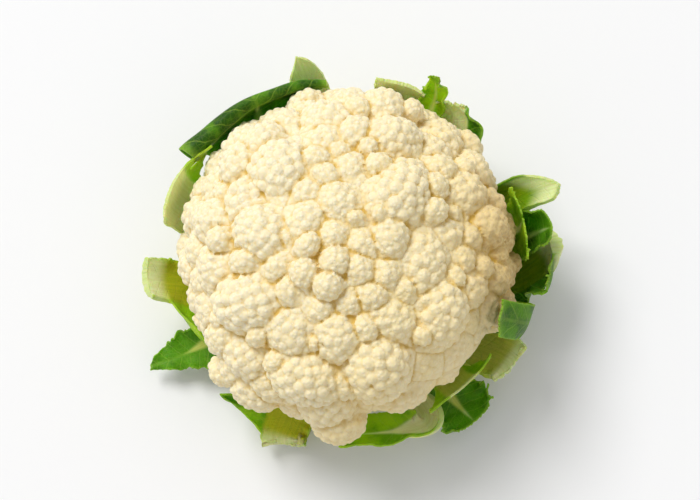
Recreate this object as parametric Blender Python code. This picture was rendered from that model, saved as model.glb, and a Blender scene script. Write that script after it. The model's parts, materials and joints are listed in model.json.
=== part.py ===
"""Trimmed cauliflower: a lumpy curd on its cut stalk, ringed by eighteen cropped leaves.

Metres, +Z up. The origin is the middle of the stalk's cut face, which the head stands on, and -Y is
the front. A bearing turns round the stalk from +X (0 degrees) towards +Y (90 degrees).
"""

import math

import bmesh
import bpy
from mathutils import Matrix, Vector

MM = 0.001

# Driving sizes of the curd: half widths across and front to back, and how far the crown stands
# above the widest level and the underside hangs below it.
CURD_HALF_X = 82.5 * MM
CURD_HALF_Y = 86 * MM
WIDEST_Z = 54 * MM
CROWN_RISE = 62 * MM
UNDERSIDE_DROP = 24 * MM

# The front leaves press the curd in a little here.
PRESSED_BEARING, PRESSED_TILT = 293, 84
PRESSED_DEPTH = 8 * MM
PRESSED_REACH = math.radians(30)

STALK_RADIUS = 20 * MM
STALK_FLARE = 1.5 * MM
STALK_TOP_Z = 32.7 * MM
STALK_EDGE = 1 * MM
STALK_SIDES = 36
GAP = 0.3 * MM

# The youngest and smallest florets ring this point, where the curd leans a little forwards.
CROWN_BEARING, CROWN_TILT = 240, 20
# The large florets, each as bearing, tilt from the top and width in mm.
LARGE_FLORETS = (
    (37, 24, 31), (342, 30, 29), (324, 46, 30), (300, 35, 24), (284, 51, 30), (265, 36, 23),
    (237, 41, 25), (252, 57, 30), (211, 46, 30), (177, 32, 25), (157, 43, 28), (135, 37, 30),
    (105, 11, 20), (165, 15, 19), (358, 15, 18), (66, 43, 25), (99, 54, 27), (50, 73, 26),
    (135, 73, 24), (117, 62, 21), (169, 58, 22), (189, 56, 23), (23, 52, 26), (36, 46, 17),
    (75, 62, 21), (88, 66, 22), (226, 67, 25), (266, 74, 25), (295, 70, 22), (305, 61, 22),
    (319, 66, 21), (238, 73, 21), (214, 72, 20), (8, 60, 18), (33, 72, 18), (350, 70, 18),
)
# Small florets grow from this radius at the crown to this one at the rim.
SMALL_RADIUS, RIM_RADIUS = 5.5 * MM, 11 * MM
GROWTH_ANGLE = math.radians(75)
SPIRAL_STEPS = 500
GOLDEN_ANGLE = math.pi * (3 - math.sqrt(5))
LOWEST_FLORET = -0.42
CROWDING = 0.82
SWELL = 1.08
FLORET_ROOT = 2 * MM

# The solid flesh under the florets, as radius and height, from the neck up and round to the top.
FLESH_PROFILE = (
    (0, 28), (23, 28), (27, 34), (46, 38), (64, 44), (73, 54), (70, 71), (60, 86), (46, 97), (26, 104),
    (0, 107),
)
FLESH_SIDES = 40
CURD_VOXEL = 3 * MM
CURD_FACE_SHARE = 0.25

# Each leaf's rib, from its foot at the stalk out to where it was cut off. A station is the bearing,
# reach from the stalk's axis and height of its inner face, how far that face leans from facing up
# (0) to facing the stalk (90), the widths to its left and right, its thickness, and the radius that
# it is cupped to. Lengths are in mm and angles in degrees.
LEAVES = {
    "leaf_right_upper": (
        (22, 20.5, 12, 0, 4, 4, 8, 16), (22, 48, 15, 10, 9, 8, 7, 16),
        (22, 74, 28, 45, 7, 7, 5, 14), (22, 94, 45, 50, 6, 7, 4.5, 14),
        (20, 108, 58, 45, 4, 2, 2.5, 14),
    ),
    "leaf_right_inner": (
        (12, 20.5, 28, 0, 4.5, 4.5, 4, 60), (12, 50, 30, 5, 8, 8, 3.5, 60),
        (12, 73, 34, 40, 9, 9, 2.5, 80), (12, 85.5, 46, 80, 15, 15, 1.5, 90),
        (12, 86, 61, 90, 14, 18, 1.5, 90),
    ),
    "leaf_right_folded": (
        (7, 20.5, 20, 0, 5, 5, 6, 20), (8, 50, 21, 10, 7, 7, 5, 18),
        (9, 77, 28, 40, 6, 6, 3, 14), (11, 93, 45, 60, 8, 8, 2, 16),
        (11, 98, 55, 60, 3, 3, 1.5, 16),
    ),
    "leaf_right": (
        (355, 20.5, 12, 0, 4, 3.5, 8, 28), (356, 50, 13, 5, 9, 8.5, 7, 28),
        (358, 77, 19, 25, 9, 12, 5.5, 30), (361, 95, 33, 50, 10, 18, 4, 40),
        (365, 101, 48, 75, 11, 10, 3, 40),
    ),
    "leaf_right_cheek": (
        (342, 20.5, 28, 0, 4.5, 4.5, 4, 60), (342, 50, 30, 5, 8, 8, 3.5, 60),
        (341, 74, 35, 45, 9, 8, 2.5, 60), (340, 89, 52, 85, 10, 9, 1.5, 60),
        (340, 84, 73, 125, 8, 9, 1.5, 60),
    ),
    "leaf_right_lower": (
        (331, 20.5, 12, 0, 3.5, 4, 8, 30), (331, 50, 13, 5, 8, 9, 7, 30),
        (331, 72, 18, 25, 11, 10, 6, 30), (331, 86, 26, 35, 12, 11, 5, 30),
        (330, 92, 28, 35, 11, 11, 4, 30),
    ),
    "leaf_front_right_inner": (
        (314, 20.5, 28, 0, 4.5, 4.5, 4, 60), (314, 50, 30, 5, 8, 8, 3.5, 60),
        (313, 72, 32, 40, 9, 9, 2.5, 70), (312, 83.5, 41, 80, 17, 18, 1.5, 85),
        (312, 84, 50, 90, 18, 18, 1.5, 85),
    ),
    "leaf_front_right": (
        (311, 20.5, 20, 0, 5, 5, 6, 30), (311, 48, 20, 0, 7, 7, 5, 30),
        (311, 70, 15, 0, 9, 8, 4, 30), (311, 84, 11, 5, 15, 13, 3, 28),
        (311, 93, 12, 25, 14, 13, 2, 28),
    ),
    "leaf_front": (
        (299, 20.5, 12, 0, 4, 4, 8, 30), (299, 46, 12, 0, 8, 7, 7, 30),
        (299, 66, 14, 0, 6, 6, 6, 30), (297, 79, 22, 10, 5, 5, 5, 30),
        (289, 83, 27, 25, 6, 6, 4, 30), (279, 80, 29, 30, 7, 7, 2, 40),
        (269, 79, 29, 30, 9, 9, 1.5, 40),
    ),
    "leaf_front_left": (
        (248, 20.5, 12, 0, 7, 7, 8, 60), (248, 40, 12, 0, 11, 11, 7, 60),
        (248, 58, 12, 0, 11, 12, 6.5, 60), (248, 70, 12, 0, 10, 24, 6, 70),
        (248, 77, 11, 0, 10, 38, 5.5, 80), (248, 83, 9, 0, 10, 13, 5, 70),
        (249, 87, 8, 0, 10, 10, 4.5, 60),
    ),
    "leaf_left_lower": (
        (205, 20.5, 20, 0, 6, 6, 6, 60), (205, 50, 19, 0, 10, 8, 5, 60),
        (205, 76, 17, 5, 12, 9, 3, 60), (205, 91, 13, 5, 6, 9, 2, 60),
        (204, 107, 10, 5, 1.5, 1.5, 1.5, 60),
    ),
    "leaf_left": (
        (184, 20.5, 12, 0, 7, 7, 8, 30), (184, 50, 13, 5, 10, 12, 7, 30),
        (184, 73, 21, 30, 11, 11, 6, 26), (184, 87, 36, 50, 26, 10, 5.5, 40),
        (184, 95, 43, 35, 10, 9, 4.5, 24),
    ),
    "leaf_left_upper": (
        (160, 20.5, 28, 0, 6, 6, 4, 60), (160, 50, 30, 5, 10, 10, 3.5, 60),
        (160, 73, 34, 45, 11, 11, 3, 70), (160, 87, 46, 80, 13, 15, 2.5, 88),
        (160, 89.5, 62, 90, 13, 17, 2.5, 60),
    ),
    "leaf_back_left": (
        (122, 20.5, 20, 0, 6, 6, 6, 60), (122, 50, 21, 5, 11, 11, 5.5, 60),
        (121, 76, 30, 50, 18, 17, 4, 70), (120, 88, 48, 80, 34, 30, 2, 92),
        (119, 89, 64, 90, 42, 34, 2.5, 92),
    ),
    "leaf_back": (
        (102, 20.5, 12, 0, 6, 6, 8, 28), (102, 50, 13, 5, 11, 11, 7, 28),
        (102, 80, 23, 35, 10, 10, 6, 28), (102, 96, 46, 70, 9, 9, 4.5, 26),
        (103, 100, 68, 75, 2, 7, 2.5, 26),
    ),
    "leaf_back_right": (
        (75, 20.5, 20, 0, 6, 6, 6, 60), (74, 50, 21, 5, 11, 11, 5.5, 60),
        (73, 75, 30, 45, 12, 12, 5, 80), (73, 89, 46, 75, 12, 11, 4, 80),
        (73, 91, 62, 85, 11, 11, 3, 80),
    ),
    "leaf_back_right_small": (
        (62, 20.5, 28, 0, 5, 5, 4, 30), (62, 50, 30, 5, 6, 6, 3.5, 30),
        (62, 74, 35, 50, 4, 4, 2.5, 30), (62, 91, 54, 75, 4, 4, 1.5, 30),
        (64, 96, 72, 75, 1.5, 1.5, 1, 30),
    ),
    "leaf_back_right_outer": (
        (51, 20.5, 12, 0, 4, 4, 8, 60), (51, 50, 14, 5, 10, 10, 7, 60),
        (52, 76, 27, 45, 10, 10, 5, 70), (54, 92, 48, 72, 7, 22, 3.5, 85),
        (54, 94, 62, 80, 5.5, 8, 3, 85),
    ),
}
RIB_SEGMENTS = 12
ACROSS = (-1.0, -0.55, 0.0, 0.55, 1.0)
EDGE_SHARE = 0.35


def material(name, colour, roughness):
    """A plain coat in the part's own colour."""
    made = bpy.data.materials.new(name)
    made.use_nodes = True
    shader = made.node_tree.nodes["Principled BSDF"]
    shader.inputs["Base Color"].default_value = (*colour, 1)
    shader.inputs["Roughness"].default_value = roughness
    shader.inputs["Metallic"].default_value = 0
    return made


def node(name, mesh, coat):
    """A named object of the part, in the scene."""
    made = bpy.data.objects.new(name, mesh)
    bpy.context.scene.collection.objects.link(made)
    mesh.materials.append(coat)
    return made


def on_sphere(bearing, tilt):
    """The unit direction at a bearing and a tilt from the top, both in radians."""
    flat = math.sin(tilt)
    return Vector((flat * math.cos(bearing), flat * math.sin(bearing), math.cos(tilt)))


def curd_skin(direction):
    """The point of the curd's outer shape in a direction, and its outward normal there."""
    rise = CROWN_RISE if direction.z > 0 else UNDERSIDE_DROP
    half = Vector((CURD_HALF_X, CURD_HALF_Y, rise))
    point = Vector(d * h for d, h in zip(direction, half))
    normal = Vector(d / h for d, h in zip(direction, half)).normalized()
    away = direction.angle(on_sphere(math.radians(PRESSED_BEARING), math.radians(PRESSED_TILT)))
    pressed = max(1 - (away / PRESSED_REACH) ** 2, 0) ** 0.5 * PRESSED_DEPTH
    return point + Vector((0, 0, WIDEST_Z)) - normal * pressed, normal


def curd_florets():
    """Each floret as (top point, normal, radius): the large ones, then smaller ones where they fit."""
    placed = []
    for bearing, tilt, width in LARGE_FLORETS:
        point, normal = curd_skin(on_sphere(math.radians(bearing), math.radians(tilt)))
        placed.append((point, normal, width * MM / 2))
    crown = on_sphere(math.radians(CROWN_BEARING), math.radians(CROWN_TILT))
    turn = Vector((0, 0, 1)).rotation_difference(crown)
    for fit in (1.0, 0.8, 0.62, 0.48):
        for step in range(SPIRAL_STEPS):
            tilt = math.acos(1 - 2 * (step + 0.5) / SPIRAL_STEPS)
            direction = turn @ on_sphere(step * GOLDEN_ANGLE, tilt)
            growth = min(tilt / GROWTH_ANGLE, 1)
            radius = (SMALL_RADIUS + (RIM_RADIUS - SMALL_RADIUS) * growth) * fit
            point, normal = curd_skin(direction)
            if direction.z > LOWEST_FLORET and all(
                (point - other).length > CROWDING * (radius + size) for other, _, size in placed
            ):
                placed.append((point, normal, radius))
    return placed


def add_flesh(mesh):
    """Spins the flesh profile into a closed body."""
    rings = []
    for radius, height in FLESH_PROFILE:
        sides = FLESH_SIDES if radius else 1
        rings.append([
            mesh.verts.new((radius * MM * math.cos(a), radius * MM * math.sin(a), height * MM))
            for a in (math.tau * k / sides for k in range(sides))
        ])
    for low, high in zip(rings, rings[1:]):
        for k in range(FLESH_SIDES):
            after = k + 1
            corners = (
                low[k % len(low)], low[after % len(low)], high[after % len(high)], high[k % len(high)],
            )
            mesh.faces.new(dict.fromkeys(corners))


def make_curd():
    """The curd: a ball for each floret and the flesh under them, fused into one skin."""
    shape = bmesh.new()
    add_flesh(shape)
    for point, normal, radius in curd_florets():
        ball = radius * SWELL
        root = FLORET_ROOT + ball
        facing = normal.to_track_quat("Z", "Y")
        stretched = Matrix.LocRotScale(point - normal * root, facing, (ball, ball, root))
        bmesh.ops.create_icosphere(shape, subdivisions=2, radius=1, matrix=stretched)
    mesh = bpy.data.meshes.new("curd")
    shape.to_mesh(mesh)
    shape.free()
    curd = node("curd", mesh, material("curd", (0.84, 0.72, 0.48), 0.6))
    fuse = curd.modifiers.new("fuse", "REMESH")
    fuse.mode = "VOXEL"
    fuse.voxel_size = CURD_VOXEL
    fuse.use_smooth_shade = True
    thin = curd.modifiers.new("thin", "DECIMATE")
    thin.ratio = CURD_FACE_SHARE
    bpy.ops.mesh.primitive_cylinder_add(
        vertices=STALK_SIDES, radius=STALK_RADIUS * 2, depth=STALK_TOP_Z,
        location=(0, 0, STALK_TOP_Z / 2 + GAP),
    )
    seat = bpy.context.object
    seat.name = "stalk_seat_cutter"
    seat.hide_render = True
    seat.display_type = "WIRE"
    cut = curd.modifiers.new("stalk seat", "BOOLEAN")
    cut.operation = "DIFFERENCE"
    cut.object = seat


def make_stalk():
    """The stalk, cut square below, a little wider where the curd's branches leave it."""
    bpy.ops.mesh.primitive_cone_add(
        vertices=STALK_SIDES, radius1=STALK_RADIUS - STALK_FLARE, radius2=STALK_RADIUS,
        depth=STALK_TOP_Z, location=(0, 0, STALK_TOP_Z / 2),
    )
    stalk = bpy.context.object
    stalk.name = "stalk"
    stalk.data.materials.append(material("stalk", (0.6, 0.66, 0.4), 0.55))
    edge = stalk.modifiers.new("cut edge", "BEVEL")
    edge.width = STALK_EDGE
    edge.segments = 2
    edge.limit_method = "ANGLE"


def spline(rows, share):
    """Every number of the rows, read at a share of the way along a smooth curve through them."""
    place = share * (len(rows) - 1)
    k = min(int(place), len(rows) - 2)
    t = place - k
    before, after = rows[max(k - 1, 0)], rows[min(k + 2, len(rows) - 1)]
    return [
        ((2 * b) + (c - a) * t + (2 * a - 5 * b + 4 * c - d) * t * t + (3 * b - a - 3 * c + d) * t**3) / 2
        for a, b, c, d in zip(before, rows[k], rows[k + 1], after)
    ]


def rib_point(station):
    bearing = math.radians(station[0])
    return Vector((station[1] * math.cos(bearing), station[1] * math.sin(bearing), station[2])) * MM


def leaf_ring(rows, share):
    """The points round a leaf's section at a share of its rib: the inner face, then the outer."""
    station = spline(rows, share)
    bearing, lean = math.radians(station[0]), math.radians(station[3])
    left, right, thick, cup = (size * MM for size in station[4:])
    step = 0.01
    ahead, behind = spline(rows, min(share + step, 1)), spline(rows, max(share - step, 0))
    along = (rib_point(ahead) - rib_point(behind)).normalized()
    facing = on_sphere(bearing, -lean)
    facing = (facing - along * facing.dot(along)).normalized()
    side = facing.cross(along)
    inner, outer = [], []
    for across in ACROSS:
        reach = across * (left if across > 0 else right)
        turn = reach / cup
        point = rib_point(station) + (side * math.sin(turn) + facing * (1 - math.cos(turn))) * cup
        out = (side * math.sin(turn) - facing * math.cos(turn)).normalized()
        inner.append(point)
        outer.append(point + out * thick * (1 - (1 - EDGE_SHARE) * abs(across)))
    return inner + outer[::-1]


def make_leaf(name, rows, coat):
    """A leaf: a cupped plate swept along its rib, closed at the foot and at the cut."""
    shape = bmesh.new()
    rings = [
        [shape.verts.new(p) for p in leaf_ring(rows, k / RIB_SEGMENTS)] for k in range(RIB_SEGMENTS + 1)
    ]
    for first, second in zip(rings, rings[1:]):
        for k in range(len(first)):
            after = (k + 1) % len(first)
            shape.faces.new((first[k], first[after], second[after], second[k]))
    shape.faces.new(rings[0][::-1])
    shape.faces.new(rings[-1])
    bmesh.ops.triangulate(shape, faces=shape.faces)
    bmesh.ops.recalc_face_normals(shape, faces=shape.faces)
    mesh = bpy.data.meshes.new(name)
    shape.to_mesh(mesh)
    shape.free()
    mesh.shade_smooth()
    node(name, mesh, coat)


def main():
    for old in list(bpy.data.objects):
        bpy.data.objects.remove(old)
    make_curd()
    make_stalk()
    green = material("leaf", (0.16, 0.3, 0.03), 0.45)
    for name, rows in LEAVES.items():
        make_leaf(name, rows, green)


main()
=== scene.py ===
"""A trimmed cauliflower: its curd, the stalk it stands on, and the cropped leaves that cup it.

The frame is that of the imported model: metres, with +Z up, the front towards -Y, and the origin in
the middle of the stalk's cut face. Sizes below are in mm, and MM makes them metres. A bearing is
in degrees, and turns round the stalk from +X towards +Y.
"""

import json
import math

import bpy
import numpy as np
from mathutils import Matrix, Vector, noise

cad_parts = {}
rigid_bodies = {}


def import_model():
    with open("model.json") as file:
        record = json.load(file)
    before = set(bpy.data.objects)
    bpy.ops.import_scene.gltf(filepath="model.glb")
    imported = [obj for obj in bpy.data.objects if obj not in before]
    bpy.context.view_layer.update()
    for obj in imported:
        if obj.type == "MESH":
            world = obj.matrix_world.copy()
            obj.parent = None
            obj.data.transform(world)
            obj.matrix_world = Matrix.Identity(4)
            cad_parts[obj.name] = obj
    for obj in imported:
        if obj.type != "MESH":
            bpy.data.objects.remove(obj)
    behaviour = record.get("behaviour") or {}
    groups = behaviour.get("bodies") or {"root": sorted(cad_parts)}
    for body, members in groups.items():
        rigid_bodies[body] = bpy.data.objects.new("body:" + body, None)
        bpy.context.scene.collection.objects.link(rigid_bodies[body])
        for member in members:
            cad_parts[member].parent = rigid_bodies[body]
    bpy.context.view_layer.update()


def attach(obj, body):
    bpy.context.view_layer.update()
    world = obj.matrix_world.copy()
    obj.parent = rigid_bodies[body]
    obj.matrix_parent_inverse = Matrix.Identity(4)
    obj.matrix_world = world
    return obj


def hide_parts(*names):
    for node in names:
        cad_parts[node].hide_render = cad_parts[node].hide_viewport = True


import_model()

# Curd: the white head, a mass of flower stems so crowded that their tips close up into a dome.
# One grown piece: it branches from the stalk into florets, each floret into lobes, and each lobe
# into buds the size of a pinhead. The tips are cream; the flesh down between them is coloured
# ochre and warm, partly its own yellower colour and partly painted shade in the creases.
MM = 0.001
CURD_HALF_X = 82.5
CURD_HALF_Y = 86
WIDEST_Z = 54
CROWN_RISE = 62
UNDERSIDE_DROP = 24
CROWN_BEARING, CROWN_TILT = 240, 20
PRESSED_BEARING, PRESSED_TILT = 293, 84
PRESSED_DEPTH, PRESSED_REACH = 8, math.radians(30)
# Florets and clusters of florets: each one's bearing, tilt from the top, and width.
LARGE_FLORETS = (
    (37, 24, 31), (342, 30, 29), (324, 46, 30), (300, 35, 24), (284, 51, 30), (265, 36, 23),
    (237, 41, 25), (252, 57, 30), (211, 46, 30), (177, 32, 25), (157, 43, 28), (135, 37, 30),
    (105, 11, 20), (165, 15, 19), (358, 15, 18), (66, 43, 25), (99, 54, 27), (50, 73, 26),
    (135, 73, 24), (117, 62, 21), (169, 58, 22), (189, 56, 23), (23, 52, 26), (36, 46, 17),
    (75, 62, 21), (88, 66, 22), (226, 67, 25), (262, 75, 26), (295, 70, 22), (305, 61, 22),
    (319, 66, 21), (238, 73, 21), (214, 72, 20), (8, 60, 18), (33, 72, 18), (350, 70, 18),
)
CLUSTERS = (
    (132, 45, 56), (72, 53, 56), (33, 24, 52), (181, 44, 46), (214, 50, 36), (322, 42, 38),
    (233, 15, 40), (289, 49, 40), (250, 53, 38), (13, 57, 36),
)
CLUSTER_HEIGHT = 5
SMALL_RADIUS, RIM_RADIUS = 5.5, 11
GROWTH_ANGLE = math.radians(75)
SPIRAL_STEPS = 500
GOLDEN_ANGLE = math.pi * (3 - math.sqrt(5))
LOWEST_FLORET = -0.42
FLORET_FITS = (1.0, 0.8, 0.62, 0.48)
FLORET_CROWDING = 0.82
FLORET_SPREAD, FLORET_HEIGHT, FLORET_STRETCH = 1.2, 1.15, 0.15
LARGE_LIFT, SMALL_LIFT = (-3.4, -2.2), (-5.2, -2.8)
RIM_LIFT = 4.2
# Where leaves press on the rim: bearing, depth, and half width in degrees.
RIM_PRESSES = (
    (247, 7, 10), (321, 9.5, 15), (279, 4.8, 7), (294, 5, 7), (190, 6, 10), (209, 5, 6),
    (112, 4, 9), (147, -2.5, 5), (157, 2, 6), (172, -2, 8),
)
LOBE_LEAST, LOBE_SHARE = 1.15, 0.09
LARGEST_LOBE, SMALLEST_LOBE = 1.35, 0.6
LOBE_TRIES, TRIES_GROWTH = 55, 1.6
LOBE_CROWDING = 0.66
LOBE_SUNK, BODY_SUNK, CORE_SUNK = (0.55, 0.8), 0.3, 0.5
LOBE_PROUD = 0.38
LOWEST_LOBE = -0.1
BRANCHED_BELOW = 0.35
BRANCH_START, BRANCH_BEND = (10, 39), (46, 43)
BRANCH_RADIUS, BRANCH_TIP = 5, 0.62
BRANCH_BALLS = 26
FLESH_PROFILE = (
    (0, 34), (20, 33.5), (26, 36), (46, 44), (64, 50), (75, 57), (75, 64), (70.5, 75), (64, 84),
    (55, 92.5), (42, 100), (24, 106.5), (0, 109),
)
FLESH_SIDES = 48
CURD_VOXEL = 0.78 * MM
CURD_TRIANGLES = 196000
FLORET_GROOVE, FLORET_GROOVE_WIDTH = 0.9, 0.75
LOBE_GROOVE, LOBE_GROOVE_WIDTH = 0.25, 0.45
GROOVE_REACH, FAR_OFF = 1.7, 50.0
HOLLOW_ROUNDS = 30
pick = np.random.default_rng(7)


def on_sphere(bearing, tilt):
    """The unit direction at a bearing and a tilt from the top, in radians."""
    flat = math.sin(tilt)
    return np.array((flat * math.cos(bearing), flat * math.sin(bearing), math.cos(tilt)))


def unit(vector):
    return vector / np.linalg.norm(vector)


def curd_skin(direction):
    """The point of the curd's outer shape in a direction, and its outward normal there."""
    half = np.array((CURD_HALF_X, CURD_HALF_Y, CROWN_RISE if direction[2] > 0 else UNDERSIDE_DROP))
    normal = unit(direction / half)
    pressed_at = on_sphere(math.radians(PRESSED_BEARING), math.radians(PRESSED_TILT))
    away = math.acos(np.clip(direction @ pressed_at, -1, 1))
    pressed = max(1 - (away / PRESSED_REACH) ** 2, 0) ** 0.5 * PRESSED_DEPTH
    return direction * half + (0, 0, WIDEST_Z) - normal * pressed, normal


def curd_florets():
    """Each floret as (top point, normal, radius): the large ones, then smaller ones that fit."""
    placed = []
    for bearing, tilt, width in LARGE_FLORETS:
        point, normal = curd_skin(on_sphere(math.radians(bearing), math.radians(tilt)))
        placed.append((point, normal, width / 2))
    crown = Vector(on_sphere(math.radians(CROWN_BEARING), math.radians(CROWN_TILT)))
    turn = np.array(Vector((0, 0, 1)).rotation_difference(crown).to_matrix())
    for fit in FLORET_FITS:
        for step in range(SPIRAL_STEPS):
            tilt = math.acos(1 - 2 * (step + 0.5) / SPIRAL_STEPS)
            direction = turn @ on_sphere(step * GOLDEN_ANGLE, tilt)
            growth = min(tilt / GROWTH_ANGLE, 1)
            radius = (SMALL_RADIUS + (RIM_RADIUS - SMALL_RADIUS) * growth) * fit
            point, normal = curd_skin(direction)
            if direction[2] > LOWEST_FLORET and all(
                np.linalg.norm(point - other) > FLORET_CROWDING * (radius + size)
                for other, _, size in placed
            ):
                placed.append((point, normal, radius))
    return placed


def lobe_directions(dome):
    """Where lobes stand on a floret's dome: (direction, lobe radius), crowded until none fits."""
    lobe = LOBE_LEAST + LOBE_SHARE * dome[2]
    found = []
    tries = int(LOBE_TRIES * (dome[0] / lobe) ** TRIES_GROWTH)
    for size in np.linspace(LARGEST_LOBE, SMALLEST_LOBE, tries):
        tilt = math.acos(pick.uniform(LOWEST_LOBE, 1))
        direction = on_sphere(pick.uniform(0, math.tau), tilt)
        if all(
            np.linalg.norm((direction - other) * dome) > LOBE_CROWDING * (size * lobe + taken)
            for other, taken in found
        ):
            found.append((direction, size * lobe))
    return found


def stand(normal):
    """The turn, as a matrix, that stands +Z along a normal."""
    return np.array(Vector(normal).to_track_quat("Z", "Y").to_matrix())


def rim_lift(point):
    """How far the rim's florets stand out past the plain shape, less where a leaf presses."""
    bearing = math.degrees(math.atan2(point[1], point[0])) % 360
    return RIM_LIFT - sum(
        depth * math.exp(-(((bearing - at) / width) ** 2)) for at, depth, width in RIM_PRESSES
    )


def cluster_lift(point):
    """How far a floret stands out because it grows near the middle of a cluster of them."""
    best = 0
    for bearing, tilt, width in CLUSTERS:
        middle = curd_skin(on_sphere(math.radians(bearing), math.radians(tilt)))[0]
        best = max(best, 1 - (2 * np.linalg.norm(point - middle) / width) ** 2)
    return CLUSTER_HEIGHT * best


def curd_balls():
    """Every ball that the curd is grown from, as (centre, radii, turn), in three lists."""
    florets, lobes, rest = [], [], []
    for k, (point, normal, radius) in enumerate(curd_florets()):
        turn = stand(normal) @ np.array(Matrix.Rotation(pick.uniform(0, math.pi), 3, "Z"))
        stretch = 1 + pick.uniform(0, FLORET_STRETCH)
        dome = np.array((FLORET_SPREAD * stretch, FLORET_SPREAD / stretch, FLORET_HEIGHT)) * radius
        lobe = LOBE_LEAST + LOBE_SHARE * radius
        lift = pick.uniform(*(LARGE_LIFT if k < len(LARGE_FLORETS) else SMALL_LIFT))
        lift += cluster_lift(point) + rim_lift(point) * (1 - normal[2])
        middle = point - normal * (dome[2] + LOBE_PROUD * lobe - lift)
        florets.append((middle, dome, turn))
        rest.append((middle, dome - BODY_SUNK * lobe, turn))
        rest.append((middle - normal * CORE_SUNK * radius, np.full(3, radius), turn))
        for direction, size in lobe_directions(dome):
            place = middle + turn @ (direction * (dome - pick.uniform(*LOBE_SUNK) * size))
            lobes.append((place, np.full(3, size), turn))
        if normal[2] < BRANCHED_BELOW:
            rest += branch(middle, radius, turn)
    return florets, lobes, rest


def branch(tip, radius, turn):
    """The balls of one branch of the underside, from the stalk's top out to a floret."""
    outward = unit(tip * (1, 1, 0))
    start = outward * BRANCH_START[0] + (0, 0, BRANCH_START[1])
    bend = outward * BRANCH_BEND[0] + (0, 0, BRANCH_BEND[1])
    chain = []
    for step in range(BRANCH_BALLS):
        share = step / (BRANCH_BALLS - 1)
        centre = (1 - share) ** 2 * start + 2 * share * (1 - share) * bend + share**2 * tip
        size = BRANCH_RADIUS + (BRANCH_TIP * radius - BRANCH_RADIUS) * share
        chain.append((centre, np.full(3, size), turn))
    return chain


def copies(model, places):
    """One mesh that holds a copy of a model at each (centre, radii, turn)."""
    corners = np.array([v.co for v in model.vertices])
    faces = np.array([p.vertices for p in model.polygons])
    points = [centre + (corners * radii) @ turn.T for centre, radii, turn in places]
    rings = [faces + len(corners) * k for k in range(len(places))]
    mesh = bpy.data.meshes.new("copies")
    mesh.from_pydata((np.concatenate(points) * MM).tolist(), [], np.concatenate(rings).tolist())
    return mesh


def only(piece):
    """Leaves this piece alone selected and active."""
    bpy.ops.object.select_all(action="DESELECT")
    piece.select_set(True)
    bpy.context.view_layer.objects.active = piece


def shape_with(piece, kind, **settings):
    """Adds a modifier to a piece, sets it and applies it."""
    only(piece)
    added = piece.modifiers.new(kind.lower(), kind)
    for setting, value in settings.items():
        setattr(added, setting, value)
    bpy.ops.object.modifier_apply(modifier=added.name)


def spin_profile(name, profile, sides):
    """A closed round body, spun from (radius, height) pairs that start and end on the axis."""
    mesh = bpy.data.meshes.new(name)
    points = [(r * MM, 0, z * MM) for r, z in profile]
    mesh.from_pydata(points, [(k, k + 1) for k in range(len(profile) - 1)], [])
    piece = bpy.data.objects.new(name, mesh)
    bpy.context.scene.collection.objects.link(piece)
    only(piece)
    bpy.ops.object.mode_set(mode="EDIT")
    bpy.ops.mesh.select_all(action="SELECT")
    bpy.ops.mesh.spin(steps=sides, angle=math.tau, center=(0, 0, 0), axis=(0, 0, 1))
    bpy.ops.mesh.select_all(action="SELECT")
    bpy.ops.mesh.remove_doubles(threshold=0.00001)
    bpy.ops.mesh.normals_make_consistent(inside=False)
    bpy.ops.object.mode_set(mode="OBJECT")
    return piece


def points_of(mesh):
    flat = np.empty(len(mesh.vertices) * 3)
    mesh.vertices.foreach_get("co", flat)
    return flat.reshape(-1, 3)


def normals_of(mesh):
    flat = np.empty(len(mesh.vertices) * 3, np.float32)
    mesh.vertex_normals.foreach_get("vector", flat)
    return flat.reshape(-1, 3).astype(float)


def smoothed(values, edges, rounds):
    """Values at the points, each averaged with its neighbours that many times."""
    ends = np.concatenate((edges[:, 0], edges[:, 1]))
    others = np.concatenate((edges[:, 1], edges[:, 0]))
    count = np.bincount(ends, minlength=len(values))[:, None]
    for _ in range(rounds):
        total = [np.bincount(ends, column[others], len(values)) for column in values.T]
        values = (values + np.stack(total, 1) / count) / 2
    return values


def write_attribute(mesh, name, values):
    mesh.attributes.new(name, "FLOAT", "POINT").data.foreach_set("value", values.astype(np.float32))


bpy.ops.object.select_all(action="DESELECT")
bpy.ops.mesh.primitive_ico_sphere_add(subdivisions=2, radius=1)
lobe_model = bpy.context.object
curd = spin_profile("cauliflower_curd", FLESH_PROFILE, FLESH_SIDES)
florets, lobes, rest = curd_balls()
grown = bpy.data.objects.new("grown", copies(lobe_model.data, lobes + rest))
bpy.context.scene.collection.objects.link(grown)
only(grown)
curd.select_set(True)
bpy.context.view_layer.objects.active = curd
bpy.ops.object.join()
bpy.data.objects.remove(lobe_model)
shape_with(curd, "REMESH", mode="VOXEL", voxel_size=CURD_VOXEL, use_smooth_shade=True)
only(curd)
before = set(bpy.context.scene.objects)
bpy.ops.object.mode_set(mode="EDIT")
bpy.ops.mesh.select_all(action="SELECT")
bpy.ops.mesh.separate(type="LOOSE")
bpy.ops.object.mode_set(mode="OBJECT")
parts = [curd, *(set(bpy.context.scene.objects) - before)]
parts.sort(key=lambda piece: len(piece.data.vertices))
curd = parts.pop()
curd.name = "cauliflower_curd"
for hollow_part in parts:
    bpy.data.objects.remove(hollow_part)

points, normals = points_of(curd.data) / MM, normals_of(curd.data)


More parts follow.
